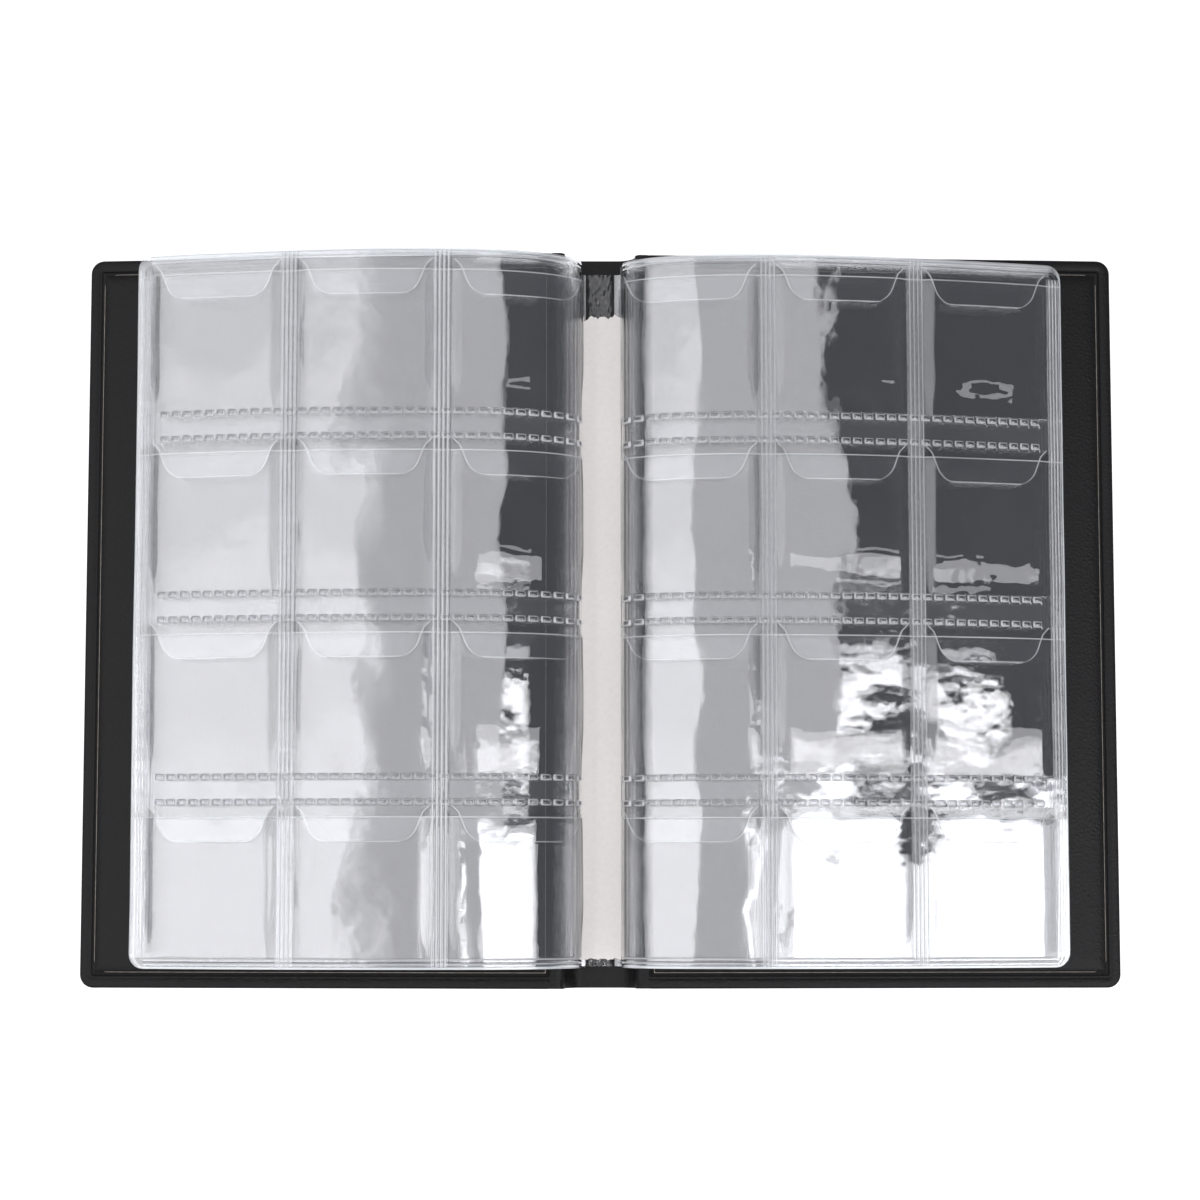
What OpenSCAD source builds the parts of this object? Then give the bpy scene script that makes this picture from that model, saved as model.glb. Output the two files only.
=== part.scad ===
// Coin album lying open: padded cover, U-shaped spine, and five clear pocket leaves on each side.
// Origin: middle of the spine's underside. +X right, +Y towards the top of the pages, +Z up.

/* [Pages] */
// Inside width of one coin pocket
pocket_width = 31.2; // [20:0.5:50]
// Inside height of one coin pocket
pocket_height = 35.4; // [20:0.2:60]
// Width of the weld between two pocket columns
column_weld = 4; // [2:0.5:8]
// Height of the double knurled weld between two pocket rows
row_weld = 7.5; // [4:0.1:12]
// Weld margin along the outer edge of a leaf
outer_margin = 3.8; // [2:0.5:10]
// Weld margin on the spine side of the first column
inner_margin = 2; // [1:0.5:8]
// Plain film between a leaf's fold line and its first weld
root_margin = 5.2; // [4.5:0.1:12]
// Weld along the top and bottom edge of a leaf
edge_weld = 2.5; // [1:0.1:6]
// Radius of the outer corners of a leaf
page_corner = 3.5; // [1:0.5:8]
// How far each higher leaf ends short of the one below it
leaf_step = 0.55; // [0:0.05:0.6]

/* [Pocket films] */
// Thickness of the full-size back film of a leaf
back_thickness = 0.2; // [0.15:0.05:0.4]
// Thickness of the front film of a pocket
front_thickness = 0.18; // [0.15:0.01:0.3]
// Thickness of the tuck-in flap
flap_thickness = 0.14; // [0.1:0.01:0.2]
// Space between back film and front film, where the coin and the flap sit
pocket_gap = 0.3; // [0.25:0.01:0.4]
// Height of the knurled welds over the front film
weld_rise = 0.1; // [0.05:0.01:0.2]
// Distance from the upper weld down to the open edge of the front film
pocket_opening = 2.6; // [1:0.5:10]
// Depth of a flap below the weld it hangs from
flap_depth = 8.5; // [6:0.5:16]
// Width of a flap where it hangs from the weld
flap_top_width = 29; // [15:0.5:45]
// Width of a flap at its lower end
flap_low_width = 21; // [10:0.5:40]

/* [Leaf stack] */
// Distance between neighbouring leaves at the spine
root_pitch = 0.28; // [0.25:0.01:0.6]
// Distance between neighbouring leaves over the pockets
leaf_pitch = 1.12; // [1:0.02:2]
// Extra spread of the left leaves at their outer edge
left_fan = 0.6; // [0:0.1:2]
// Height of the left leaf bulge over its crease
left_bulge = 24; // [8:0.1:28]
// Height of the right leaf bulge over its crease
right_bulge = 19; // [8:0.1:28]
// How far the left leaf stack springs clear of its cover at the outer edge
left_edge_rise = 8; // [0.4:0.1:12]
// How far the right leaf stack springs clear of its cover at the outer edge
right_edge_rise = 0.5; // [0.4:0.1:12]

/* [Cover] */
// Cover showing below the leaves
bottom_border = 5.2; // [1:0.1:15]
// Cover showing above the leaves
top_border = 3.7; // [1:0.1:15]
// How much wider a cover panel is than a leaf is long
panel_extra = 4.1; // [0:0.5:20]
// Thickness of the outer cover sheet
skin_thickness = 0.6; // [0.4:0.1:1.5]
// Thickness of the stiff panel board
board_thickness = 1.6; // [1:0.1:3]
// Thickness of the inner lining sheet
lining_thickness = 0.5; // [0.3:0.1:1.5]
// Width of the flat welded rim around the padded panel
rim_width = 3; // [2:0.5:8]
// Radius of the cover corners
cover_corner = 3.2; // [1:0.1:12]

/* [Spine] */
// Distance between the two creases
crease_span = 18; // [14:0.5:30]
// Height of the left crease over the table
left_crease = 9.2; // [5:0.1:14]
// Height of the right crease over the table
right_crease = 7.2; // [5:0.1:14]
// Width of the weld that holds all leaf roots
binding_width = 7; // [4:0.5:10]
// Thickness of the welded leaf roots
binding_height = 1.2; // [0.8:0.1:2]
// Open space between a cover hinge and the spine wall
hinge_gap = 0.3; // [0.2:0.05:0.6]

/* [Card strip] */
// Length of the folded card strip
card_length = 156; // [80:1:240]
// Width of the folded card strip
card_width = 12.2; // [6:0.2:20]
// Thickness of the card
card_thickness = 0.5; // [0.3:0.05:1]
// Height of the card edges over the table
card_edge_height = 6.2; // [4:0.1:9]
// Depth of the fold below the card edges
card_fold_depth = 1.6; // [0.5:0.1:3]
// Distance the card lies below the middle of the spine
card_offset = 4; // [0:0.5:10]

/* [Hidden] */
rows = 4;
columns = 3;
leaves = 5;
steps = 26;
sides = ["left", "right"];

page_height = 2 * edge_weld + rows * pocket_height + (rows - 1) * row_weld;
page_width = outer_margin + columns * pocket_width + (columns - 1) * column_weld + inner_margin;
leaf_length = root_margin + page_width;
cover_height = page_height + bottom_border + top_border;
page_middle = (bottom_border - top_border) / 2;
page_low = page_middle - page_height / 2;
page_high = page_middle + page_height / 2;
half_gutter = crease_span / 2;
cover_width = leaf_length + panel_extra;
sheet = skin_thickness + lining_thickness;
nose = sheet / 2;
crease_height = [left_crease, right_crease];
bulge = [left_bulge, right_bulge];
fan = [left_fan, 0];
edge_rise = [left_edge_rise, right_edge_rise];
slope = [for (s = [0, 1]) asin((crease_height[s] - nose) / cover_width)];
leaf_thickness = back_thickness + pocket_gap + front_thickness + weld_rise;

function lerp(a, b, t) = a + (b - a) * t;
function smooth(t) = let (c = min(1, max(0, t))) c * c * (3 - 2 * c);
function bezier(p, t) = let (a = 1 - t)
    a * a * a * p[0] + 3 * a * a * t * p[1] + 3 * a * t * t * p[2] + t * t * t * p[3];
function direction(p, t) = let (a = 1 - t)
    let (d = a * a * (p[1] - p[0]) + 2 * a * t * (p[2] - p[1]) + t * t * (p[3] - p[2])) d / norm(d);
function cumulative(v, i = 0, total = 0, out = []) =
    i == len(v) ? out : cumulative(v, i + 1, total + v[i], concat(out, [total + v[i]]));

// Centre line of the lowest leaf in its own side's section, from its root to past its outer edge.
function leaf_curve(s) = [
    [half_gutter - 0.8, crease_height[s] - 1.4],
    [half_gutter - 5.2, crease_height[s] + 0.64 * bulge[s]],
    [half_gutter + 0.26 * leaf_length, crease_height[s] + bulge[s] + 1.2],
    [half_gutter + leaf_length, sheet + board_thickness + edge_rise[s]]
];
// Centre line of a root film, from the binding weld up to the leaf root.
function root_curve(s) = [
    [binding_width / 2, sheet + 0.5],
    [half_gutter - 2.4, sheet + 0.3],
    leaf_curve(s)[0] - 1.8 * (leaf_curve(s)[1] - leaf_curve(s)[0]) / norm(leaf_curve(s)[1] - leaf_curve(s)[0]),
    leaf_curve(s)[0]
];

// Points, normals and running length of a curve.
function curve_points(p, n) = [for (i = [0:n]) bezier(p, pow(i / n, 1.25))];
function curve_normals(p, n) = [
    for (i = [0:n]) let (d = direction(p, pow(i / n, 1.25))) [-d[1], d[0]]
];
function curve_lengths(q) = cumulative([
    for (i = [0:len(q) - 1]) i == 0 ? 0 : norm(q[i] - q[i - 1])
]);

leaf_points = [for (s = [0, 1]) curve_points(leaf_curve(s), steps)];
leaf_normals = [for (s = [0, 1]) curve_normals(leaf_curve(s), steps)];
leaf_lengths = [for (s = [0, 1]) curve_lengths(leaf_points[s])];
root_points = [for (s = [0, 1]) curve_points(root_curve(s), 9)];
root_normals = [for (s = [0, 1]) curve_normals(root_curve(s), 9)];
root_lengths = [for (s = [0, 1]) curve_lengths(root_points[s])];

// Distance between neighbouring leaves at length a along the curve.
function pitch_at(a) = lerp(root_pitch, leaf_pitch, smooth(a / 8));
// Height of leaf k over the lowest leaf at length a along the curve.
function stack_height(s, k, a) = k * (
    pitch_at(a) + fan[s] * smooth((a - 30) / (leaf_length - 30))
);
// Height above leaf k's underside of a layer that lies at height h over the pockets: the layers
// press closer together where the leaves crowd into the gutter.
function layer_height(h, a) = h <= back_thickness ? h : back_thickness
    + (h - back_thickness) * (pitch_at(a) - back_thickness - 0.06) / (leaf_pitch - back_thickness - 0.06);
// Last length along the curve that leaf k reaches.
function leaf_end(k) = leaf_length - k * leaf_step;

// Section of a film from length a to length b, between offsets low and high over leaf k.
function row_points(q, n, l, h, a, b) =
    let (
        x = [for (i = [0:len(q) - 1]) [l[i], q[i][0] + n[i][0] * h[i]]],
        z = [for (i = [0:len(q) - 1]) [l[i], q[i][1] + n[i][1] * h[i]]],
        at = concat([a], [for (v = l) if (v > a + 0.02 && v < b - 0.02) v], [b])
    )
    [for (v = at) [lookup(v, x), lookup(v, z)]];
function reversed(v) = [for (i = [len(v) - 1:-1:0]) v[i]];
function leaf_section(s, k, a, b, low, high) =
    let (
        q = leaf_points[s],
        n = leaf_normals[s],
        l = leaf_lengths[s],
        h = [for (v = l) stack_height(s, k, v)]
    )
    concat(
        row_points(q, n, l, [for (i = [0:len(h) - 1]) h[i] + layer_height(low, l[i])], a, b),
        reversed(row_points(q, n, l, [for (i = [0:len(h) - 1]) h[i] + layer_height(high, l[i])], a, b))
    );
function root_section(s, k) =
    let (
        q = root_points[s],
        n = root_normals[s],
        l = root_lengths[s],
        total = l[len(l) - 1]
    )
    concat(
        row_points(q, n, l, [for (v = l) k * root_pitch * v / total], 0, total - 0.1),
        reversed(row_points(q, n, l, [for (v = l) k * root_pitch * v / total + 0.15], 0, total - 0.1))
    );

// Extrudes a section of the left or right side along the pages from y = low to y = high.
module along(s, low, high) {
    mirror([s == 0 ? 1 : 0, 0, 0])
        translate([0, high, 0])
            rotate([90, 0, 0])
                linear_extrude(height = high - low)
                    children();
}

// Bottom edge of pocket row r, counted from the bottom of the page.
function row_bottom(r) = page_low + edge_weld + r * (pocket_height + row_weld);
// Spine-side edge of pocket column c on leaf k, counted from the outer edge.
function column_inner(k, c) =
    leaf_end(k) - outer_margin - (c + 1) * pocket_width - c * column_weld;

// Upright prism with two rounded outer corners that trims a leaf to its outline.
module leaf_outline(s, k) {
    far = lookup(leaf_end(k), [
        for (i = [0:steps]) [leaf_lengths[s][i], leaf_points[s][i][0]]
    ]) + stack_height(s, k, leaf_end(k)) * lookup(leaf_end(k), [
        for (i = [0:steps]) [leaf_lengths[s][i], leaf_normals[s][i][0]]
    ]) + 0.31;
    half = page_height / 2;
    translate([0, page_middle, 0])
    mirror([s == 0 ? 1 : 0, 0, 0])
        difference() {
            translate([-20, -half - 5, -20])
                cube([far + 40, page_height + 10, 120]);
            for (y = [-1, 1])
                difference() {
                    translate([far - page_corner, y > 0 ? half - page_corner : -half - 10, -30])
                        cube([60, page_corner + 10, 140]);
                    translate([far - page_corner, y * (half - page_corner), -31])
                        cylinder(r = page_corner * 1.03, h = 142, $fn = 48);
                }
        }
}

module back_film(s, k) {
    color([0.82, 0.87, 0.88, 0.5])
        intersection() {
            along(s, page_low, page_high)
                polygon(leaf_section(s, k, 0.1, leaf_end(k), 0, back_thickness));
            leaf_outline(s, k);
        }
}

module welds(s, k) {
    low = back_thickness;
    mid = low + pocket_gap;
    high = mid + front_thickness + weld_rise;
    start = column_inner(k, columns - 1) - inner_margin;
    color([0.72, 0.78, 0.8, 0.7])
        intersection() {
            union() {
                for (r = [0:rows - 2])
                    along(s, row_bottom(r) + pocket_height, row_bottom(r + 1))
                        polygon(leaf_section(s, k, start, leaf_end(k), low, high));
                along(s, page_low, row_bottom(0))
                    polygon(leaf_section(s, k, start, leaf_end(k), low, high));
                along(s, page_high - edge_weld, page_high)
                    polygon(leaf_section(s, k, start, leaf_end(k), low, high));
                for (r = [0:rows - 1]) {
                    along(s, row_bottom(r), row_bottom(r) + pocket_height)
                        polygon(leaf_section(s, k, start, start + inner_margin, low, mid));
                    along(s, row_bottom(r), row_bottom(r) + pocket_height)
                        polygon(leaf_section(s, k, leaf_end(k) - outer_margin, leaf_end(k), low, mid));
                    for (c = [0:columns - 2])
                        along(s, row_bottom(r), row_bottom(r) + pocket_height)
                            polygon(leaf_section(s, k, column_inner(k, c) - column_weld,
                                column_inner(k, c), low, mid));
                }
            }
            leaf_outline(s, k);
        }
}

module pocket_fronts(s, k) {
    low = back_thickness + pocket_gap;
    start = column_inner(k, columns - 1) - inner_margin;
    color([0.86, 0.9, 0.91, 0.4])
        for (r = [0:rows - 1])
            along(s, row_bottom(r), row_bottom(r) + pocket_height - pocket_opening)
                polygon(leaf_section(s, k, start, leaf_end(k), low, low + front_thickness));
}

// One tuck-in flap per pocket, hanging from the weld above it behind the front film.
module flaps(s, k) {
    low = back_thickness + 0.06;
    color([0.86, 0.9, 0.91, 0.4])
        for (r = [0:rows - 1])
            for (c = [0:columns - 1]) {
                top = row_bottom(r) + pocket_height;
                middle = column_inner(k, c) + pocket_width / 2;
                side = (flap_top_width - flap_low_width) / 2;
                along(s, top - flap_depth * 0.45, top)
                    polygon(leaf_section(s, k, middle - flap_top_width / 2,
                        middle + flap_top_width / 2, low, low + flap_thickness));
                along(s, top - flap_depth * 0.8, top - flap_depth * 0.45)
                    polygon(leaf_section(s, k, middle - flap_top_width / 2 + side * 0.5,
                        middle + flap_top_width / 2 - side * 0.5, low, low + flap_thickness));
                along(s, top - flap_depth, top - flap_depth * 0.8)
                    polygon(leaf_section(s, k, middle - flap_low_width / 2,
                        middle + flap_low_width / 2, low, low + flap_thickness));
            }
}

// Rounded plate in its own plane, from the hinge axis at x = 0 outwards.
module panel(x0, x1, half, radius, z0, z1) {
    translate([x0, -half, z0])
        cube([x1 - radius - x0, 2 * half, z1 - z0]);
    translate([x1 - radius, -half + radius, z0])
        cube([radius, 2 * (half - radius), z1 - z0]);
    for (y = [-1, 1])
        translate([x1 - radius, y * (half - radius), z0])
            cylinder(r = radius, h = z1 - z0, $fn = 48);
}

// Puts a flat panel on its crease at the slope it has when the album lies open.
module on_crease(s) {
    mirror([s == 0 ? 1 : 0, 0, 0])
        translate([half_gutter, 0, crease_height[s]])
            rotate([0, slope[s], 0])
                children();
}

module outer_skin(s) {
    half = cover_height / 2;
    color([0.1, 0.1, 0.1])
        on_crease(s)
            union() {
                panel(0, cover_width, half, cover_corner, -nose, skin_thickness - nose);
                intersection() {
                    rotate([90, 0, 0])
                        cylinder(r = nose, h = cover_height, center = true, $fn = 32);
                    translate([-sheet, -cover_height, -sheet])
                        cube([2 * sheet, 2 * cover_height, sheet + skin_thickness - nose]);
                }
            }
}

module board(s) {
    inset = rim_width + 0.8;
    color([0.55, 0.5, 0.42])
        on_crease(s)
            panel(inset, cover_width - inset, cover_height / 2 - inset, cover_corner,
                skin_thickness - nose, skin_thickness - nose + board_thickness);
}

module lining(s) {
    half = cover_height / 2;
    base = skin_thickness - nose;
    inset = rim_width + 0.8;
    color([0.13, 0.13, 0.13])
        on_crease(s)
            difference() {
                union() {
                    panel(nose * 1.2, cover_width, half, cover_corner, base, base + lining_thickness);
                    translate([inset - 0.8, 0, 0])
                        panel(0, cover_width - 2 * rim_width, half - rim_width, cover_corner,
                            base, base + board_thickness + lining_thickness);
                }
                panel(inset, cover_width - inset, half - inset, cover_corner,
                    base - 1, base + board_thickness);
            }
}

// Middle line of the spine wall from the left crease to the right crease, then offset for its layers.
function wall(s) = [
    [half_gutter + 0.15, crease_height[s] - nose - hinge_gap],
    [half_gutter + 0.5, crease_height[s] * 0.35],
    [half_gutter - 2.2, nose],
    [half_gutter - 4.6, nose]
];
function spine_points() =
    let (
        l = [for (i = [0:10]) bezier(wall(0), i / 10)],
        r = [for (i = [0:10]) bezier(wall(1), i / 10)]
    )
    concat([for (p = l) [-p[0], p[1]]], [[0, nose]], reversed(r));
function spine_normals() =
    let (
        l = [for (i = [0:10]) direction(wall(0), i / 10)],
        r = [for (i = [0:10]) direction(wall(1), i / 10)]
    )
    concat([for (d = l) [-d[1], -d[0]]], [[0, 1]], reversed([for (d = r) [d[1], -d[0]]]));
function spine_section(low, high) =
    let (q = spine_points(), n = spine_normals())
    concat(
        [for (i = [0:len(q) - 1]) q[i] + n[i] * low],
        reversed([for (i = [0:len(q) - 1]) q[i] + n[i] * high])
    );

module spine_skin() {
    color([0.1, 0.1, 0.1])
        along(1, -cover_height / 2, cover_height / 2)
            polygon(spine_section(-nose, skin_thickness - nose));
}

module spine_lining() {
    color([0.13, 0.13, 0.13])
        along(1, -cover_height / 2, cover_height / 2)
            polygon(spine_section(skin_thickness - nose, nose));
}

module binding_weld() {
    color([0.7, 0.75, 0.77])
        translate([-binding_width / 2, page_low, sheet])
            cube([binding_width, page_height, binding_height]);
}

module root_films(s) {
    color([0.8, 0.86, 0.87, 0.5])
        for (k = [0:leaves - 1])
            along(s, page_low, page_high)
                polygon(root_section(s, k));
}

module card_strip() {
    half = card_width / 2;
    fold = card_edge_height - card_fold_depth;
    color([0.94, 0.9, 0.87])
        translate([0, -card_offset, 0])
            along(1, -card_length / 2, card_length / 2)
                polygon([
                    [-half, card_edge_height],
                    [-0.8, fold],
                    [half, card_edge_height - 0.3],
                    [half, card_edge_height - 0.3 + card_thickness],
                    [-0.8, fold + card_thickness],
                    [-half, card_edge_height + card_thickness]
                ]);
}

leaf_nodes = [
    for (side = sides)
        for (k = [1:leaves])
            for (piece = ["back_film", "welds", "pocket_fronts", "flaps"])
                str(side, "_", piece, "_", k)
];

// Which node to draw

spine_skin();
spine_lining();
binding_weld();
card_strip();
for (s = [0, 1]) {
    root_films(s);
    outer_skin(s);
    board(s);
    lining(s);
    for (k = [0:leaves - 1]) {
        back_film(s, k);
        welds(s, k);
        pocket_fronts(s, k);
        flaps(s, k);
    }
}
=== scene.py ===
# %% [markdown]
# A coin album lying open. Its black padded covers and its spine are welded vinyl, and five clear
# leaves of tuck-in coin pockets are welded into each half. The shape of every moving body is already
# known to the frame, so this lesson only adds what the eye looks for: soft edges, grain, glossy film
# with ripples, knurled welds and thin bright film edges.

# %% Load the frame
import math

import bmesh
import bpy
import numpy as np
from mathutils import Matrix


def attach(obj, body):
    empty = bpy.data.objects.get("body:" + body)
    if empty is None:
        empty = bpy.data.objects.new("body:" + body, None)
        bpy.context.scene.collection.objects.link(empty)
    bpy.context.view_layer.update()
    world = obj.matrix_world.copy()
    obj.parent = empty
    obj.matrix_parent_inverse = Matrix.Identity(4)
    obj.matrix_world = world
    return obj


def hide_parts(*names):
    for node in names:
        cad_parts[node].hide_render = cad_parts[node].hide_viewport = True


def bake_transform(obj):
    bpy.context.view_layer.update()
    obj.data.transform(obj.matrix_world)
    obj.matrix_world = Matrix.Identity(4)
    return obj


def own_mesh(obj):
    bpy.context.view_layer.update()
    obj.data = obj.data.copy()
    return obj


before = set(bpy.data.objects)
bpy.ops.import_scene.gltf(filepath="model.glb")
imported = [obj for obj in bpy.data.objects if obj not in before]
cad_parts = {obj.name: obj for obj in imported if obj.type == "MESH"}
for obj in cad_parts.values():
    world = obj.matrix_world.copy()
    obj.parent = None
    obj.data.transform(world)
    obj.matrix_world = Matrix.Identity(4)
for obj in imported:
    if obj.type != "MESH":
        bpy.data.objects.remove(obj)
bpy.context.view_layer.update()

# %% [markdown]
# The album's own sizes come next, in millimetres because that is how a maker of stationery thinks.
# The leaves bend along one smooth curve on each side, so most pieces only need to say how far along
# that curve and how high above it they lie.

# %% Sizes of the album in millimetres
MM = 0.001
LEAVES, ROWS, COLUMNS = 5, 4, 3
POCKET_W, POCKET_H = 31.2, 35.4
COLUMN_WELD, ROW_WELD, EDGE_WELD = 4.0, 7.5, 2.5
OUTER_MARGIN, INNER_MARGIN, ROOT_MARGIN = 3.8, 2.0, 5.2
PAGE_MIDDLE = 0.75
BACK, GAP, FRONT, FLAP = 0.2, 0.3, 0.18, 0.14
ROOT_PITCH, LEAF_PITCH, LEAF_STEP = 0.28, 1.12, 0.55
PAGE_H = 2 * EDGE_WELD + ROWS * POCKET_H + (ROWS - 1) * ROW_WELD
LEAF_LENGTH = (ROOT_MARGIN + OUTER_MARGIN + COLUMNS * POCKET_W + (COLUMNS - 1) * COLUMN_WELD
               + INNER_MARGIN)
PAGE_CORNER, POCKET_OPENING = 3.5, 2.6
PAGE_LOW, PAGE_HIGH = -PAGE_H / 2, PAGE_H / 2
COVER_W, COVER_H, COVER_CORNER = LEAF_LENGTH + 4.1, PAGE_H + 8.9, 3.2
HALF_GUTTER, SKIN, BOARD, LINING = 9.0, 0.6, 1.6, 0.5
NOSE = (SKIN + LINING) / 2
SIDES = {
    "left": dict(sign=-1, crease=9.2, bulge=24.0, fan=0.6, rise=8.0),
    "right": dict(sign=1, crease=7.2, bulge=19.0, fan=0.0, rise=0.5),
}
for side in SIDES.values():
    side["slope"] = math.asin((side["crease"] - NOSE) / COVER_W)
print("page", PAGE_H, "x", LEAF_LENGTH, "cover", COVER_W, "x", COVER_H)

# %% [markdown]
# A leaf stands up out of the gutter, rolls over the crease and sinks towards the outer edge of the
# cover. One cubic curve per side draws that path. Sampling it finely once and looking values up by
# running length is simpler and steadier than solving the curve for every vertex.

# %% The curve that the leaves of one side follow
def cubic(p, t):
    t = t[:, None]
    return ((1 - t) ** 3 * p[0] + 3 * (1 - t) ** 2 * t * p[1]
            + 3 * (1 - t) * t**2 * p[2] + t**3 * p[3])


def sampled(control):
    points = cubic(np.array(control, float), np.linspace(0, 1, 600))
    steps = np.gradient(points, axis=0)
    steps /= np.linalg.norm(steps, axis=1)[:, None]
    length = np.concatenate([[0], np.cumsum(np.linalg.norm(np.diff(points, axis=0), axis=1))])
    return points, np.stack([-steps[:, 1], steps[:, 0]], axis=1), length


for side in SIDES.values():
    crease, bulge = side["crease"], side["bulge"]
    root = (HALF_GUTTER - 0.8, crease - 1.4)
    rise = np.array([-4.4, 0.64 * bulge + 1.4])
    side["leaf_path"] = sampled([
        root,
        (HALF_GUTTER - 5.2, crease + 0.64 * bulge),
        (HALF_GUTTER + 0.26 * LEAF_LENGTH, crease + bulge + 1.2),
        (HALF_GUTTER + LEAF_LENGTH, SKIN + LINING + BOARD + side["rise"]),
    ])
    side["root_path"] = sampled([
        (3.5, SKIN + LINING + 0.5),
        (HALF_GUTTER - 2.4, SKIN + LINING + 0.3),
        tuple(np.array(root) - 1.8 * rise / np.linalg.norm(rise)),
        root,
    ])
    print("leaf curve length", round(side["leaf_path"][2][-1], 1))


def smooth(t):
    t = np.clip(t, 0, 1)
    return t * t * (3 - 2 * t)


def place(side, u, y, z):
    return np.stack(np.broadcast_arrays(side["sign"] * u, y, z), axis=-1) * MM


def leaf_end(k):
    return LEAF_LENGTH - k * LEAF_STEP


def ripple(side, k, a, y):
    """The slow waves and the small creases that a soft film keeps."""
    s = side["sign"]
    wave = 0.16 * np.sin(a / 9.5 + 0.8 * s + 0.35 * np.sin(y / 21)) * np.sin(y / 17 + 0.7 * s)
    wave += 0.07 * np.sin(a / 4.1 + y / 7.3 + 1.9 * s) * np.sin(a / 23 - y / 31)
    wave += 0.05 * np.sin(a / 2.7 - y / 5.1 + 0.12 * k) * smooth((np.sin(a / 19 + y / 26 + s) + 0.2))
    return wave * smooth(a / 25)


def on_leaf(side, k, a, y, lift):
    points, normals, length = side["leaf_path"]
    a, y, lift = np.broadcast_arrays(np.asarray(a, float), np.asarray(y, float), lift)
    pitch = ROOT_PITCH + (LEAF_PITCH - ROOT_PITCH) * smooth(a / 8)
    crowd = (pitch - BACK - 0.06) / (LEAF_PITCH - BACK - 0.06)
    lift = np.where(lift > BACK, BACK + (lift - BACK) * crowd, lift)
    height = lift + ripple(side, k, a, y) + k * (
        pitch + side["fan"] * smooth((a - 30) / (LEAF_LENGTH - 30)))
    u = np.interp(a, length, points[:, 0]) + np.interp(a, length, normals[:, 0]) * height
    z = np.interp(a, length, points[:, 1]) + np.interp(a, length, normals[:, 1]) * height
    return place(side, u, y + PAGE_MIDDLE, z)


# %% [markdown]
# Nearly every piece here is a thin closed slab: a top surface, a bottom surface and a wall round
# the rim. The helper below joins such grids into one mesh and gives the rim its own material slot,
# because the cut edge of clear film gathers light and looks brighter than its face.

# %% A gatherer of thin closed slabs
class Slabs:
    def __init__(self):
        self.points, self.faces, self.slots, self.count = [], [], [], 0

    def add(self, top, bottom, face_slot=0, rim_slot=1, bright=None, dim=None):
        """bright and dim say which cells (i, j, last i, last j) of the top take slots rim_slot and 2."""
        n, m = top.shape[:2]
        first = self.count
        self.points += [top.reshape(-1, 3), bottom.reshape(-1, 3)]
        self.count += 2 * n * m
        index = np.arange(n * m).reshape(n, m) + first
        low = index + n * m
        quad = np.stack([index[:-1, :-1], index[1:, :-1], index[1:, 1:], index[:-1, 1:]], -1)
        under = np.stack([low[:-1, :-1], low[:-1, 1:], low[1:, 1:], low[1:, :-1]], -1)
        rim = np.concatenate([index[0, :], index[1:, -1], index[-1, -2::-1], index[-2:0:-1, 0]])
        rim_low = rim + n * m
        wall = np.stack([rim, np.roll(rim, -1), np.roll(rim_low, -1), rim_low], -1)
        self.faces += [quad.reshape(-1, 4), under.reshape(-1, 4), wall]
        upper = np.full((n - 1, m - 1), face_slot)
        i, j = np.meshgrid(np.arange(n - 1), np.arange(m - 1), indexing="ij")
        if dim is not None:
            upper[dim(i, j, n - 2, m - 2)] = 2
        if bright is not None:
            upper[bright(i, j, n - 2, m - 2)] = rim_slot
        self.slots += [upper.ravel(), np.full((n - 1) * (m - 1), face_slot), np.full(len(wall), rim_slot)]

    def make(self, name, materials, sharp_rim=True):
        mesh = bpy.data.meshes.new(name)
        points, faces = np.concatenate(self.points), np.concatenate(self.faces)
        mesh.from_pydata(points.tolist(), [], faces.tolist())
        shade = bmesh.new()
        shade.from_mesh(mesh)
        bmesh.ops.recalc_face_normals(shade, faces=shade.faces)
        shade.to_mesh(mesh)
        shade.free()
        mesh.polygons.foreach_set("material_index", np.concatenate(self.slots).astype(np.int32))
        mesh.polygons.foreach_set("use_smooth", np.ones(len(mesh.polygons), bool))
        if sharp_rim:
            mesh.set_sharp_from_angle(angle=math.radians(50))
        for material in materials:
            mesh.materials.append(material)
        piece = bpy.data.objects.new(name, mesh)
        bpy.context.collection.objects.link(piece)
        return piece


# %% [markdown]
# Finishes. Black vinyl is nearly colourless, so its life comes from the fine grain that breaks up
# the shine. A cell pattern for the grain plus a slow noise for the roughness does that without any
# picture, and it keeps its scale on every piece because it reads object coordinates.

# %% Node helpers and the black vinyl
def new_material(name):
    material = bpy.data.materials.new(name)
    material.use_nodes = True
    tree = material.node_tree
    return material, tree, tree.nodes["Principled BSDF"]


def node(tree, kind, **values):
    made = tree.nodes.new(kind)
    for key, value in values.items():
        if key in made.inputs:
            made.inputs[key].default_value = value
        else:
            setattr(made, key, value)
    return made


def ramp(tree, source, low, high, dark, light):
    made = tree.nodes.new("ShaderNodeValToRGB")
    made.color_ramp.elements[0].position, made.color_ramp.elements[1].position = low, high
    made.color_ramp.elements[0].color = (*dark, 1)
    made.color_ramp.elements[1].color = (*light, 1)
    tree.links.new(source, made.inputs[0])
    return made


def spread(tree, source, low, high):
    made = node(tree, "ShaderNodeMapRange")
    made.inputs["To Min"].default_value, made.inputs["To Max"].default_value = low, high
    tree.links.new(source, made.inputs["Value"])
    return made.outputs[0]


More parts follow.
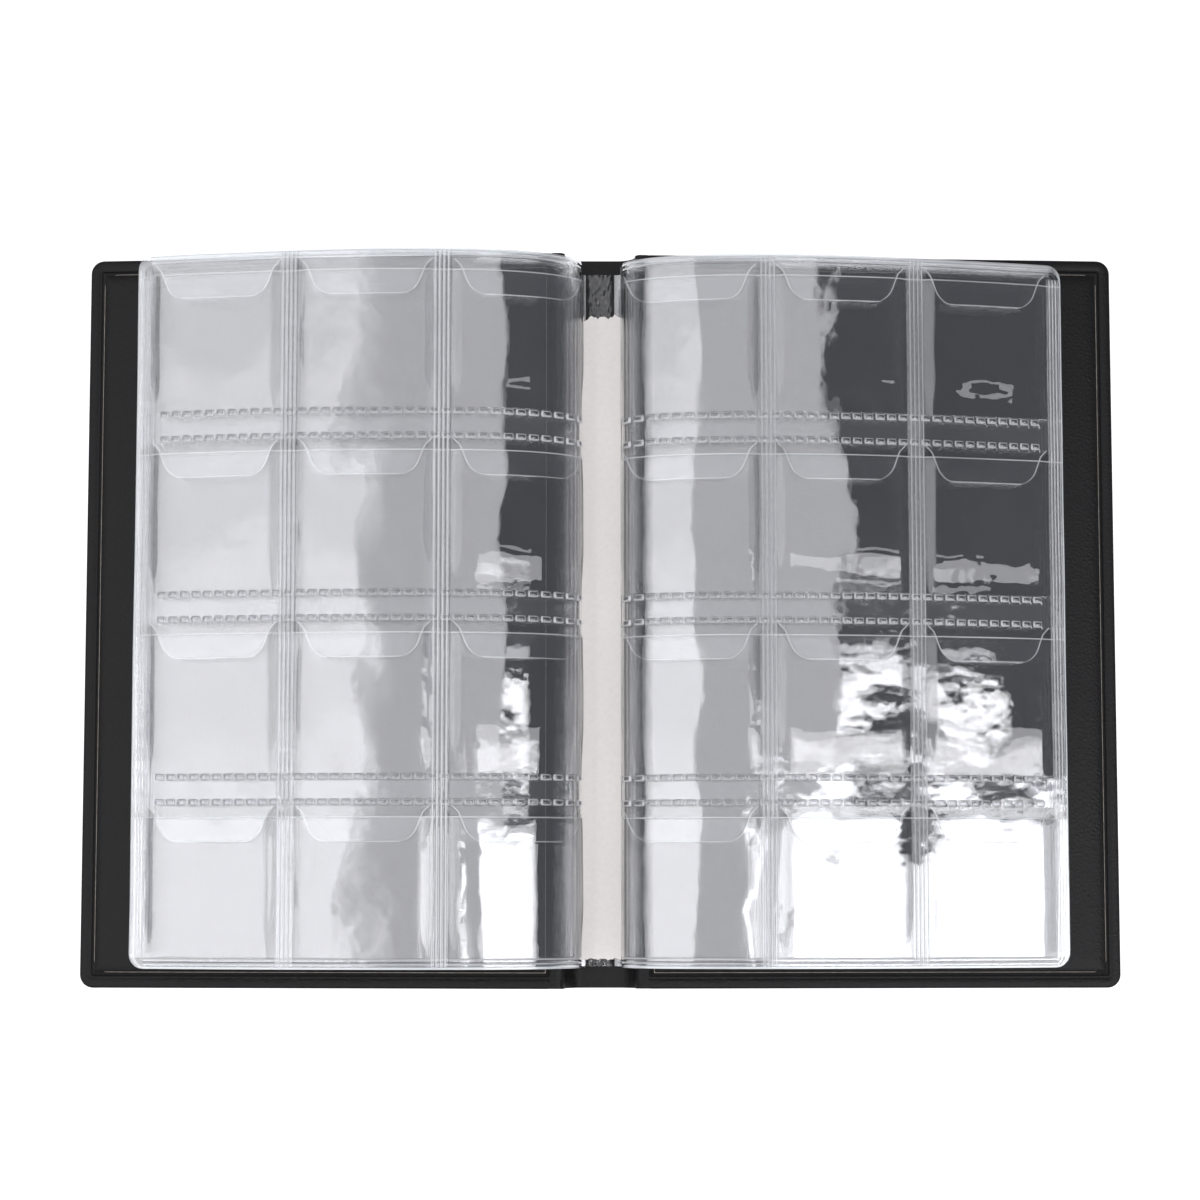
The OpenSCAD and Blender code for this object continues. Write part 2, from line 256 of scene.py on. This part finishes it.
def black_vinyl(name, shade, grain):
    material, tree, face = new_material(name)
    link, where = tree.links.new, node(tree, "ShaderNodeTexCoord").outputs["Object"]
    cells = node(tree, "ShaderNodeTexVoronoi", Scale=900.0, feature="DISTANCE_TO_EDGE")
    fine = node(tree, "ShaderNodeTexNoise", Scale=2200.0, Detail=3.0)
    slow = node(tree, "ShaderNodeTexNoise", Scale=26.0, Detail=4.0)
    for texture in (cells, fine, slow):
        link(where, texture.inputs["Vector"])
    height = node(tree, "ShaderNodeMath", operation="MULTIPLY_ADD")
    link(cells.outputs["Distance"], height.inputs[0])
    height.inputs[1].default_value = 1.6
    link(fine.outputs["Fac"], height.inputs[2])
    bump = node(tree, "ShaderNodeBump", Strength=grain, Distance=0.00025)
    link(height.outputs[0], bump.inputs["Height"])
    link(bump.outputs[0], face.inputs["Normal"])
    tone = ramp(tree, slow.outputs["Fac"], 0.3, 0.75, [shade * 0.8] * 3, [shade, shade, shade * 1.06])
    link(tone.outputs[0], face.inputs["Base Color"])
    link(spread(tree, slow.outputs["Fac"], 0.36, 0.5), face.inputs["Roughness"])
    face.inputs["Specular IOR Level"].default_value = 0.22
    return material


outer_vinyl = black_vinyl("grained black vinyl", 0.012, 0.5)
lining_vinyl = black_vinyl("smooth black lining", 0.01, 0.28)

# %% [markdown]
# Clear film is the hard one. Real film passes nearly all light straight through and mirrors a
# little, more at a slant. Tracing that as solid glass through thirty thin sheets is slow and noisy,
# so each sheet is a clear surface mixed with a gloss whose share follows Fresnel's law, taken on the
# outward face only. The bump adds the faint cast texture of soft vinyl.

# %% Clear film, its bright cut edge, and the frosted welds
def film(name, gloss, haze, rough, tint, wobble):
    material, tree, face = new_material(name)
    tree.nodes.remove(face)
    link, where = tree.links.new, node(tree, "ShaderNodeTexCoord").outputs["Object"]
    waves = node(tree, "ShaderNodeTexNoise", Scale=130.0, Detail=2.0)
    streaks = node(tree, "ShaderNodeTexNoise", Scale=34.0, Detail=3.0, Roughness=0.6)
    for texture in (waves, streaks):
        link(where, texture.inputs["Vector"])
    bump = node(tree, "ShaderNodeBump", Strength=wobble, Distance=0.0006)
    link(waves.outputs["Fac"], bump.inputs["Height"])
    mirror = node(tree, "ShaderNodeBsdfGlossy", Color=(1, 1, 1, 1), Roughness=rough)
    link(bump.outputs[0], mirror.inputs["Normal"])
    milk = node(tree, "ShaderNodeBsdfDiffuse", Color=(0.925, 0.93, 0.945, 1))
    shine = node(tree, "ShaderNodeMixShader")
    fresnel = node(tree, "ShaderNodeFresnel", IOR=1.52)
    outward = node(tree, "ShaderNodeMath", operation="SUBTRACT")
    outward.inputs[0].default_value = gloss
    back = node(tree, "ShaderNodeMath", operation="MULTIPLY")
    link(node(tree, "ShaderNodeNewGeometry").outputs["Backfacing"], back.inputs[0])
    back.inputs[1].default_value = gloss
    link(back.outputs[0], outward.inputs[1])
    share = node(tree, "ShaderNodeMath", operation="MULTIPLY", use_clamp=True)
    link(fresnel.outputs[0], share.inputs[0])
    link(outward.outputs[0], share.inputs[1])
    clear = node(tree, "ShaderNodeBsdfTransparent", Color=(*tint, 1))
    hazy = node(tree, "ShaderNodeMixShader")
    link(spread(tree, streaks.outputs["Fac"], haze * 0.3, haze * 1.7), hazy.inputs[0])
    link(clear.outputs[0], hazy.inputs[1])
    link(milk.outputs[0], hazy.inputs[2])
    link(share.outputs[0], shine.inputs[0])
    link(hazy.outputs[0], shine.inputs[1])
    link(mirror.outputs[0], shine.inputs[2])
    link(shine.outputs[0], tree.nodes["Material Output"].inputs["Surface"])
    return material


clear_film = film("clear pocket film", 1.7, 0.002, 0.02, (0.995, 0.9952, 0.9965), 0.15)
cut_edge = film("cut edge of film", 3.0, 0.45, 0.2, (0.9, 0.95, 0.96), 0.1)
weld_film = film("frosted weld", 2.2, 0.006, 0.06, (0.99, 0.991, 0.993), 0.3)
# The next two films are painted light for the top leaf's welds: a whiter, hazier film as a painted
# highlight on rims and ridge stripes, and a darker tinted film as painted shade in the hollows and
# grooves.
painted_highlight_film = film("painted highlight on weld ridges", 3.0, 0.55, 0.15, (0.95, 0.954, 0.96), 0.2)
painted_shade_film = film("painted shade in knurl hollows", 2.0, 0.004, 0.08, (0.82, 0.822, 0.83), 0.3)

# %% [markdown]
# The card strip is plain greyish cream card. Two noises are enough: a fine one for the fibres and
# specks, and a broad one so that it isn't evenly coloured.

# %% Card
card, tree, face = new_material("cream card")
where = node(tree, "ShaderNodeTexCoord").outputs["Object"]
fibres = node(tree, "ShaderNodeTexNoise", Scale=900.0, Detail=5.0, Roughness=0.7)
broad = node(tree, "ShaderNodeTexNoise", Scale=45.0, Detail=3.0)
for texture in (fibres, broad):
    tree.links.new(where, texture.inputs["Vector"])
tone = ramp(tree, fibres.outputs["Fac"], 0.2, 0.6, (0.93, 0.885, 0.84), (0.985, 0.95, 0.915))
tree.links.new(tone.outputs[0], face.inputs["Base Color"])
bump = node(tree, "ShaderNodeBump", Strength=0.35, Distance=0.0002)
tree.links.new(fibres.outputs["Fac"], bump.inputs["Height"])
tree.links.new(bump.outputs[0], face.inputs["Normal"])
tree.links.new(spread(tree, broad.outputs["Fac"], 0.75, 0.95), face.inputs["Roughness"])
greyboard, tree, face = new_material("raw greyboard")
pulp = node(tree, "ShaderNodeTexNoise", Scale=600.0, Detail=6.0)
tree.links.new(node(tree, "ShaderNodeTexCoord").outputs["Object"], pulp.inputs["Vector"])
tone = ramp(tree, pulp.outputs["Fac"], 0.3, 0.7, (0.22, 0.19, 0.16), (0.4, 0.36, 0.31))
tree.links.new(tone.outputs[0], face.inputs["Base Color"])
tree.links.new(spread(tree, pulp.outputs["Fac"], 0.8, 1.0), face.inputs["Roughness"])
print("finishes:", len(bpy.data.materials))

# %% [markdown]
# Each cover is two vinyl sheets welded together all round a stiff board. The weld leaves a thin flat
# rim, then a pressed groove, and then the padded panel rises with a soft shoulder. Rings that step
# inwards from the outline follow that section exactly, even round the corners.

# %% Padded covers
def ring(inset, half_w, half_h, corner, middle):
    w, h, r = half_w - inset, half_h - inset, max(corner - inset, 0.35)
    points = []
    corners = ((w - r, h - r, 0), (r - w, h - r, 90), (r - w, r - h, 180), (w - r, r - h, 270))
    for cx, cy, start in corners:
        for step in range(9):
            angle = math.radians(start + step * 11.25)
            points.append((middle + cx + r * math.cos(angle), cy + r * math.sin(angle)))
    return points


def cover_sheet(side, sections, wall):
    """sections: (inset, height) from the outline inwards on one face; wall: height of the far side."""
    points, faces = [], []
    rings = sections + [(sections[-1][0], wall)] + [(s[0], wall) for s in reversed(sections)][1:]
    for inset, height in rings:
        for x, y in ring(inset, COVER_W / 2, COVER_H / 2, COVER_CORNER, COVER_W / 2):
            points.append((x, y, height))
    count = 36
    for r in range(len(rings)):
        if r == len(sections) - 1:
            continue
        for i in range(count):
            j = (i + 1) % count
            nxt = (r + 1) % len(rings)
            faces.append((r * count + i, r * count + j, nxt * count + j, nxt * count + i))
    inner, outer = len(sections) - 1, len(sections)
    faces.append([inner * count + i for i in range(count)])
    faces.append([outer * count + i for i in range(count)])
    c, s = math.cos(side["slope"]), math.sin(side["slope"])
    moved = []
    for x, y, z in points:
        u = HALF_GUTTER + x * c + z * s
        moved.append((side["sign"] * u * MM, y * MM, (side["crease"] - x * s + z * c) * MM))
    return moved, faces


def cover_piece(name, side, sections, wall, material):
    points, faces = cover_sheet(side, sections, wall)
    mesh = bpy.data.meshes.new(name)
    mesh.from_pydata(points, [], faces)
    shade = bmesh.new()
    shade.from_mesh(mesh)
    bmesh.ops.recalc_face_normals(shade, faces=shade.faces)
    shade.to_mesh(mesh)
    shade.free()
    mesh.polygons.foreach_set("use_smooth", np.ones(len(mesh.polygons), bool))
    mesh.set_sharp_from_angle(angle=math.radians(60))
    mesh.materials.append(material)
    piece = bpy.data.objects.new(name, mesh)
    bpy.context.collection.objects.link(piece)
    return piece


SPLIT = SKIN - NOSE
TOP = SPLIT + BOARD + LINING
lining_section = [(0.0, SPLIT + 0.22), (0.12, NOSE - 0.12), (0.4, NOSE), (1.9, NOSE), (2.2, NOSE - 0.12),
                  (2.5, NOSE - 0.22), (2.9, NOSE - 0.1), (3.3, NOSE + 0.5), (3.8, NOSE + 1.05),
                  (4.6, TOP - 0.22), (5.8, TOP - 0.05), (7.5, TOP)]
skin_section = [(0.0, SPLIT - 0.22), (0.12, -NOSE + 0.14), (0.4, -NOSE), (2.1, -NOSE),
                (2.4, -NOSE + 0.14), (2.7, -NOSE + 0.24), (3.1, -NOSE + 0.12), (3.8, -NOSE + 0.02),
                (6.0, -NOSE)]
for name, side in SIDES.items():
    upper = cover_piece(name + "_cover_lining", side, lining_section, SPLIT, lining_vinyl)
    lower = cover_piece(name + "_cover_outside", side, skin_section, SPLIT, outer_vinyl)
    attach(upper, name + "_cover")
    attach(lower, name + "_cover")
    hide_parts(name + "_lining")
    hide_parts(name + "_outer_skin")
    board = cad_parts[name + "_board"]
    board.data.materials.clear()
    board.data.materials.append(greyboard)
print("covers made")

# %% [markdown]
# The spine is one soft strip that hangs in a shallow U between the two creases. It is drawn as a
# curve and thickened, and a short flexing strip joins it to each cover, because the real sheet runs
# on unbroken and only bends there.

# %% Spine and creases
def ribbon(points, low, high, y_low, y_high, rows=24):
    points = np.array(points, float)
    step = np.gradient(points, axis=0)
    step /= np.linalg.norm(step, axis=1)[:, None]
    normal = np.stack([-step[:, 1], step[:, 0]], 1)
    y = np.linspace(y_low, y_high, rows)

    def layer(offset):
        q = points + normal * offset
        return np.stack([np.repeat(q[:, 0][:, None], rows, 1), np.repeat(y[None, :], len(q), 0),
                         np.repeat(q[:, 1][:, None], rows, 1)], -1) * MM
    return layer(high), layer(low)


def wall(side):
    c = side["crease"]
    return cubic(np.array([(HALF_GUTTER + 0.15, c - NOSE - 0.3), (HALF_GUTTER + 0.5, c * 0.35),
                           (HALF_GUTTER - 2.2, NOSE), (HALF_GUTTER - 4.6, NOSE)]), np.linspace(0, 1, 28))


left_wall, right_wall = wall(SIDES["left"]), wall(SIDES["right"])
gutter = np.concatenate([left_wall * (-1, 1), [(0, NOSE)], right_wall[::-1]])
half_cover = COVER_H / 2
for name, low, high, cad, material, finish in (
        ("spine_outside", -NOSE, SPLIT, "spine_skin", outer_vinyl, "cover_vinyl"),
        ("spine_inside", SPLIT, NOSE, "spine_lining", lining_vinyl, "lining_vinyl")):
    slabs = Slabs()
    slabs.add(*ribbon(gutter, low, high, -half_cover, half_cover), 0, 0)
    piece = slabs.make(name, [material])
    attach(piece, "spine")
    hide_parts(cad)

for name, side in SIDES.items():
    c, s = side["crease"], side["slope"]
    out = [(HALF_GUTTER + 0.17, c - 2.4), (HALF_GUTTER + 0.13, c - 1.6), (HALF_GUTTER + 0.1, c - 0.9),
           (HALF_GUTTER + 0.28, c - 0.35), (HALF_GUTTER + 0.8, c + 0.0), (HALF_GUTTER + 1.6, c - 0.08),
           (HALF_GUTTER + 2.6, c - 0.16)]
    slabs = Slabs()
    slabs.add(*ribbon([(side["sign"] * u, z) for u, z in out], -NOSE - 0.05, NOSE + 0.05,
                      -half_cover + 0.05, half_cover - 0.05), 0, 0)
    piece = slabs.make(name + "_crease", [lining_vinyl])
    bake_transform(piece)
print("spine made")

# %% [markdown]
# The roots of all ten leaves are crushed together into one knurled band along the gutter. From there
# each film climbs the spine wall to its own fold line. The real films bend when a cover closes.

# %% Binding weld and root films
rows, across = 260, 22
y = np.linspace(PAGE_LOW, PAGE_HIGH, rows)[None, :]
u = np.linspace(-3.5, 3.5, across)[:, None]
knurl = (np.sin(u * 3.2) * np.sin(y * 2.3) > 0.1) * 0.22
knurl = knurl + 0.1 * np.sin(u * 7 + y * 3.1) * np.sin(y * 5.3 - u)
edge = smooth((3.5 - np.abs(u)) / 0.8)
base = SKIN + LINING
top = np.stack(np.broadcast_arrays(u, y + PAGE_MIDDLE, base + 0.25 + (0.62 + knurl) * edge), -1) * MM
bottom = np.stack(np.broadcast_arrays(u, y + PAGE_MIDDLE, base + 0 * u + 0 * y), -1) * MM
slabs = Slabs()
slabs.add(top, bottom, 0, 0)
piece = slabs.make("knurled_binding_weld", [weld_film])
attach(piece, "spine")
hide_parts("binding_weld")

for name, side in SIDES.items():
    points, normals, length = side["root_path"]
    a = np.linspace(0, length[-1], 16)[:, None]
    y = np.linspace(PAGE_LOW, PAGE_HIGH, 30)[None, :]
    slabs = Slabs()
    for k in range(LEAVES):
        layers = []
        for offset in (0.15, 0.0):
            h = k * ROOT_PITCH * a / length[-1] + offset
            u = np.interp(a, length, points[:, 0]) + np.interp(a, length, normals[:, 0]) * h
            z = np.interp(a, length, points[:, 1]) + np.interp(a, length, normals[:, 1]) * h
            layers.append(place(side, u, y + PAGE_MIDDLE, z))
        slabs.add(*layers)
    piece = slabs.make(name + "_film_roots", [clear_film, cut_edge])
    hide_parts(name + "_root_films")
    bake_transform(piece)

# %% [markdown]
# A strip of card, folded lengthwise, lies over the binding weld. Its ends were cut by hand, so they
# are slightly ragged, and the two halves of the fold catch the light differently.

# %% Card strip
CARD_W, CARD_L, CARD_THICK, CARD_OFFSET = 12.2, 156.0, 0.5, 4.0
FOLD_X, FOLD_Z = -0.8, 4.6
t = np.linspace(-1, 1, 170)[None, :]
u = np.linspace(-CARD_W / 2, CARD_W / 2, 25)[:, None]
ragged = 0.35 * np.sin(u * 2.1) + 0.25 * np.sin(u * 5.3 + 1) + 0.12 * np.sin(u * 11)
end_top = CARD_L / 2 + ragged - 1.82 * smooth((-1.5 - u) / 5)
end_low = -CARD_L / 2 + 0.5 * ragged
y = -CARD_OFFSET + (end_top + end_low) / 2 + t * (end_top - end_low) / 2
height = FOLD_Z + np.where(u < FOLD_X, 1.6 * (FOLD_X - u) / 5.5, 1.3 * (u - FOLD_X) / 7.1)
height = height + 0.12 * np.exp(-((u - FOLD_X) / 0.5) ** 2) + 0.06 * np.sin(y / 19) * np.cos(u / 3)
slabs = Slabs()
slabs.add(np.stack(np.broadcast_arrays(u, y, height + CARD_THICK), -1) * MM,
          np.stack(np.broadcast_arrays(u, y, height + 0.02), -1) * MM, 0, 0)
piece = slabs.make("folded_card_strip", [card])
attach(piece, "spine")
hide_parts("card_strip")
print("gutter filled")

# %% [markdown]
# Each leaf has one full back film. In front of it lie four rows of pocket film, pressed flat at the
# column welds and slack between them. A tab hangs behind the open edge of every pocket. All of these
# share the leaf's ripples, so they never cross.

# %% Places of rows and columns on a leaf
def row_low(r):
    return PAGE_LOW + EDGE_WELD + r * (POCKET_H + ROW_WELD)


def column_inner(k, c):
    return leaf_end(k) - OUTER_MARGIN - (c + 1) * POCKET_W - c * COLUMN_WELD


def window(k, a):
    """0 on the column welds, 1 inside a pocket."""
    inside = np.zeros_like(a)
    for c in range(COLUMNS):
        low = column_inner(k, c)
        inside = np.maximum(inside, smooth((a - low) / 2.2) * smooth((low + POCKET_W - a) / 2.2))
    return inside


def rounding(over, corner):
    """How far a round corner draws back from the square one, at a distance over into the corner."""
    return corner - np.sqrt(np.maximum(corner**2 - over**2, 0))


def end_at(k, y):
    over = np.clip(np.abs(y) - (PAGE_HIGH - PAGE_CORNER), 0, PAGE_CORNER)
    return leaf_end(k) - rounding(over, PAGE_CORNER)


def spaced(low, high, step):
    return np.linspace(low, high, max(2, int(round((high - low) / step)) + 1))


# %% Back films and pocket fronts
def back_film(side, k):
    corner = PAGE_CORNER * (1 - np.cos(np.linspace(0.3, 1.57, 6)))
    y = np.concatenate([[PAGE_LOW], PAGE_LOW + corner, spaced(PAGE_LOW + 5, PAGE_HIGH - 5, 2.6),
                        PAGE_HIGH - corner[::-1], [PAGE_HIGH]])[None, :]
    t = np.concatenate([np.linspace(0, 1, 72)[:-1] ** 1.15, [0.997, 1.0]])[:, None]
    a = 0.1 + t * (end_at(k, y) - 0.1)
    slabs = Slabs()
    slabs.add(on_leaf(side, k, a, y, BACK), on_leaf(side, k, a, y, 0.0),
              bright=lambda i, j, n, m: (i == n) | (j < 2) | (j > m - 2))
    return slabs


def pocket_fronts(side, k):
    slabs = Slabs()
    slack = 0.62 if k == LEAVES - 1 else 0.22
    start = column_inner(k, COLUMNS - 1) - INNER_MARGIN
    for r in range(ROWS):
        low, high = row_low(r), row_low(r) + POCKET_H - POCKET_OPENING
        y = np.concatenate([spaced(low, high, 1.9)[:-1], [high - 0.3, high]])[None, :]
        a = spaced(start, leaf_end(k) - 0.25, 1.15)[:, None]
        v = (y - low) / (high - low)
        sag = 0.16 + slack * np.sin(np.pi * (0.2 + 0.75 * v)) ** 0.7
        dents = 0.1 * np.sin(a / 5.3 + y / 6.1 + k) * np.sin(y / 4.4 - a / 9.7)
        puff = window(k, a) * (GAP + smooth(v / 0.4) * sag + dents)
        lift = BACK + 0.04 + np.minimum(puff, GAP + slack)
        slabs.add(on_leaf(side, k, a, y, lift + FRONT), on_leaf(side, k, a, y, lift),
                  bright=lambda i, j, n, m: j == m)
    return slabs


def tabs(side, k):
    slabs = Slabs()
    depth, corner, half_top, half_low = 8.5, 3.2, 14.4, 11.2
    turn = np.array([0.25, 0.45, 0.65, 0.85, 1.05, 1.2, 1.3, 1.5707])
    d = np.concatenate([np.linspace(0, depth - corner, 8), depth - corner + corner * np.sin(turn)])
    d = d[None, :]
    flare = 0.96 * (1 - smooth(d / 2.2)) ** 2
    half = half_top - (half_top - half_low) * d / depth + flare
    half = half - rounding(np.clip(d - (depth - corner), 0, corner), corner)
    across = np.concatenate([[-1, -0.975], np.linspace(-0.92, 0.92, 24), [0.975, 1]])[:, None]
    for r in range(ROWS):
        for c in range(COLUMNS):
            a = column_inner(k, c) + POCKET_W / 2 + across * half
            y = row_low(r) + POCKET_H - d
            lift = BACK + 0.03 + 0.06 * np.sin(np.pi * d / depth) + 0 * a
            slabs.add(on_leaf(side, k, a, y + 0 * a, lift + FLAP), on_leaf(side, k, a, y + 0 * a, lift),
                      bright=lambda i, j, n, m: (i == 0) | (i == n) | (j > m - 2))
    return slabs


# %% [markdown]
# The welds are where the films are fused. Between the columns the tool leaves a bundle of fine
# ridges, and between the rows it leaves two rows of little cushions, like a chain. Every cushion is
# modelled, because each one carries its own highlight. On the top leaf that highlight is painted on
# too: each cushion rim and a stripe on every ridge take a whiter, hazier film, and each cushion hollow
# and another stripe on every ridge take painted shade, a darker tinted film.

# %% Knurled row welds and ridged column welds
def cushion(slabs, side, k, a0, y0, low, high):
    half_a, half_y = 1.15, 0.8
    s = np.array([-1, -0.72, -0.35, 0, 0.35, 0.72, 1])[:, None]
    t = np.array([-1, -0.52, 0, 0.52, 1])[None, :]
    dome = np.sqrt(np.clip((1 - np.abs(s) ** 4) * (1 - np.abs(t) ** 4), 0, 1))
    round_off = 1 - 0.1 * (s * t) ** 2
    a, y = a0 + s * half_a * round_off, y0 + t * half_y * round_off
    # The cushion top takes slot 2, painted shade, and its rim cells take slot 1, a painted highlight.
    slabs.add(on_leaf(side, k, a, y, low + 0.04 + (high - low) * dome),
              on_leaf(side, k, a, y, low + 0 * dome), 0, 1,
              lambda i, j, n, m: (i == 0) | (i == n) | (j == 0) | (j == m), lambda i, j, n, m: i >= 0)


def ridged(slabs, side, k, a_low, a_high, inset, ridges, height=0.2):
    low, y_low, y_high = BACK + 0.2, PAGE_LOW + inset, PAGE_HIGH - inset
    across = spaced(a_low, a_high, (a_high - a_low) / (ridges * 6))[:, None]
    y = spaced(y_low, y_high, 2.6)[None, :]
    t = (across - a_low) / (a_high - a_low)
    bump = np.abs(np.sin(np.pi * t * ridges)) ** 0.8
    # One stripe of cells on each ridge takes slot 1, a painted highlight, and one takes slot 2, painted
    # shade.
    slabs.add(on_leaf(side, k, across, y, low + 0.03 + height * bump + 0 * y),
              on_leaf(side, k, across, y, low + 0 * y), 0, 1,
              lambda i, j, n, m: i % 6 > 3, lambda i, j, n, m: i % 6 == 1)


def welds(side, k):
    slabs = Slabs()
    start, end = column_inner(k, COLUMNS - 1) - INNER_MARGIN, leaf_end(k)
    low, plate, crown = BACK + 0.01, BACK + 0.06, BACK + GAP + FRONT + 0.02
    pitch = 2.75
    for r in range(ROWS - 1):
        y0, y1 = row_low(r) + POCKET_H, row_low(r + 1)
        a = spaced(start, end - 0.3, 1.6)[:, None]
        y = spaced(y0, y1, 1.5)[None, :]
        slabs.add(on_leaf(side, k, a, y, plate + 0 * a), on_leaf(side, k, a, y, low + 0 * a), 0, 0)
        for line in (y0 + 0.82, y1 - 0.82):
            for i in range(int((end - OUTER_MARGIN - start) / pitch)):
                cushion(slabs, side, k, start + (i + 0.5) * pitch, line, plate - 0.02, crown)
    for c in range(COLUMNS - 1):
        ridged(slabs, side, k, column_inner(k, c) - COLUMN_WELD, column_inner(k, c), 0.6, 4)
    ridged(slabs, side, k, start, start + INNER_MARGIN, 0.6, 3, 0.18)
    ridged(slabs, side, k, end - OUTER_MARGIN, end - 0.6, PAGE_CORNER + 0.1, 4)
    a = spaced(start, end - 3.2, 1.6)[:, None]
    for y0, y1 in ((PAGE_LOW + 0.4, PAGE_LOW + EDGE_WELD), (PAGE_HIGH - EDGE_WELD, PAGE_HIGH - 0.4)):
        y = spaced(y0, y1, (y1 - y0) / 12)[None, :]
        bump = np.abs(np.sin(np.pi * 2 * (y - y0) / (y1 - y0))) ** 0.8
        # The edge welds carry the same painted highlight and painted shade stripes as the ridges.
        top = on_leaf(side, k, a, y, BACK + 0.03 + 0.2 * bump + 0 * a)
        slabs.add(top, on_leaf(side, k, a, y, BACK + 0 * a), 0, 1,
                  lambda i, j, n, m: j % 6 > 3, lambda i, j, n, m: j % 6 == 1)
    return slabs


# %% [markdown]
# Only the top leaf of each side gets the bright lips and the painted highlight and shade on its
# welds, since four more leaves of the same pattern would blur it. Clear film throws next to no
# shadow, so the leaves cast none, which also keeps the light tracing quick. Leaves press flat when
# their cover closes.

# %% Build the ten leaves
total = 0
for name, side in SIDES.items():
    c, s = side["crease"], side["slope"]
    for k in range(LEAVES):
        on_top = k == LEAVES - 1
        # On the top leaf the weld slots take the painted highlight and painted shade films; lower leaves
        # use plain weld film there.
        highlight_finish, shade_finish = (painted_highlight_film, painted_shade_film) if on_top else (weld_film, weld_film)
        lip = cut_edge if on_top else clear_film
        for label, build, cad, materials, finish in (
                ("back_film", back_film, "back_film", [clear_film, cut_edge], "clear_film"),
                ("pocket_film", pocket_fronts, "pocket_fronts", [clear_film, lip], "clear_film"),
                ("tabs", tabs, "flaps", [clear_film, lip], "clear_film"),
                ("knurled_welds", welds, "welds", [weld_film, highlight_finish, shade_finish], "weld_film")):
            piece = build(side, k).make(f"{name}_leaf_{k + 1}_{label}", materials)
            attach(piece, f"{name}_leaf_{k + 1}")
            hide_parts(f"{name}_{cad}_{k + 1}")
            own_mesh(piece)
            piece.visible_shadow = False
            total += len(piece.data.polygons)
print("faces in the leaves:", total)

# %% [markdown]
# The album lies on a plain white table under soft light. Clear film only shows what it mirrors, so
# the lamps matter as much as the finish. Four soft boxes on the left get brighter towards the reader
# and grey the left pages, a dimmer one overhead greys the pages near the spine, and a bright one near
# right makes the wavy highlights low on the pages. Two narrow strips add the thin streaks.

# %% Table, lamps and world
table_mesh = bpy.data.meshes.new("table_top")
HALF_TABLE, TABLE_Z = 4.0, -0.0002
corners = [(x * HALF_TABLE, y * HALF_TABLE, TABLE_Z) for x, y in ((-1, -1), (1, -1), (1, 1), (-1, 1))]
table_mesh.from_pydata(corners, [], [(0, 1, 2, 3)])
table_top = bpy.data.objects.new("table_top", table_mesh)
bpy.context.collection.objects.link(table_top)
white, tree, face = new_material("white table")
face.inputs["Base Color"].default_value = (0.9, 0.9, 0.9, 1)
face.inputs["Roughness"].default_value = 0.9
face.inputs["Emission Color"].default_value = (1, 1, 1, 1)
face.inputs["Emission Strength"].default_value = 0.7
table_mesh.materials.append(white)


LAMP_HEIGHT = 1.2


def soft_box(name, x0, x1, y0, y1, radiance, height=LAMP_HEIGHT):
    lamp = bpy.data.lights.new(name, "AREA")
    lamp.shape = "RECTANGLE"
    lamp.size, lamp.size_y = x1 - x0, y1 - y0
    lamp.energy = radiance * math.pi * lamp.size * lamp.size_y
    lamp.color = (0.975, 0.972, 1.0)
    box = bpy.data.objects.new(name, lamp)
    box.location = ((x0 + x1) / 2, (y0 + y1) / 2, height)
    bpy.context.collection.objects.link(box)


for label, y_low, y_high, radiance in (("far", 0.33, 1.1, 1.3), ("upper", 0.175, 0.33, 1.5),
                                       ("lower", 0.035, 0.175, 1.7), ("near", -1.1, 0.035, 1.85)):
    soft_box(f"left_soft_box_{label}", -1.7, -0.3, y_low, y_high, radiance)
soft_box("overhead_soft_box", -0.3, 0.46, 0.0, 0.9, 0.85)
soft_box("near_overhead_soft_box", -0.3, 0.22, -0.9, 0.0, 0.85)
soft_box("near_right_soft_box", 0.22, 1.2, -1.1, 0.0, 3.2)
soft_box("right_strip_box", 0.46, 0.9, 0.05, 0.09, 2.6)
soft_box("near_strip_box", 0.08, 0.11, -0.3, -0.04, 2.4, LAMP_HEIGHT - 0.02)
world = bpy.data.worlds.new("studio")
bpy.context.scene.world = world
world.use_nodes = True
world.node_tree.nodes["Background"].inputs["Color"].default_value = (0.82, 0.88, 1.0, 1)
world.node_tree.nodes["Background"].inputs["Strength"].default_value = 0.1
scene = bpy.context.scene
scene.view_settings.view_transform = "Standard"
scene.cycles.transparent_max_bounces = 64
scene.cycles.max_bounces, scene.cycles.diffuse_bounces, scene.cycles.glossy_bounces = 5, 2, 2
scene.cycles.caustics_reflective = scene.cycles.caustics_refractive = False

# %% [markdown]
# The camera stands almost straight above the album, a little towards the reader.

# %% Camera
DISTANCE, LENS, TILT, SHIFT = 0.62, 77.1, 4.75, 0.06
lens_data = bpy.data.cameras.new("camera")
lens_data.lens, lens_data.sensor_width, lens_data.shift_y = LENS, 36.0, SHIFT
lens_data.clip_start, lens_data.clip_end = 0.05, 20
camera = bpy.data.objects.new("camera", lens_data)
tilt = math.radians(TILT)
aim = np.array([0.0, 0.0042, 0.008])
slide = SHIFT * 36.0 / LENS * DISTANCE
up = np.array([0, math.cos(tilt), math.sin(tilt)])
back = np.array([0, -math.sin(tilt), math.cos(tilt)])
camera.location = aim + back * DISTANCE - up * slide
camera.rotation_euler = (tilt, 0, 0)
bpy.context.collection.objects.link(camera)
scene.camera = camera
print("camera at", [round(v, 3) for v in camera.location])
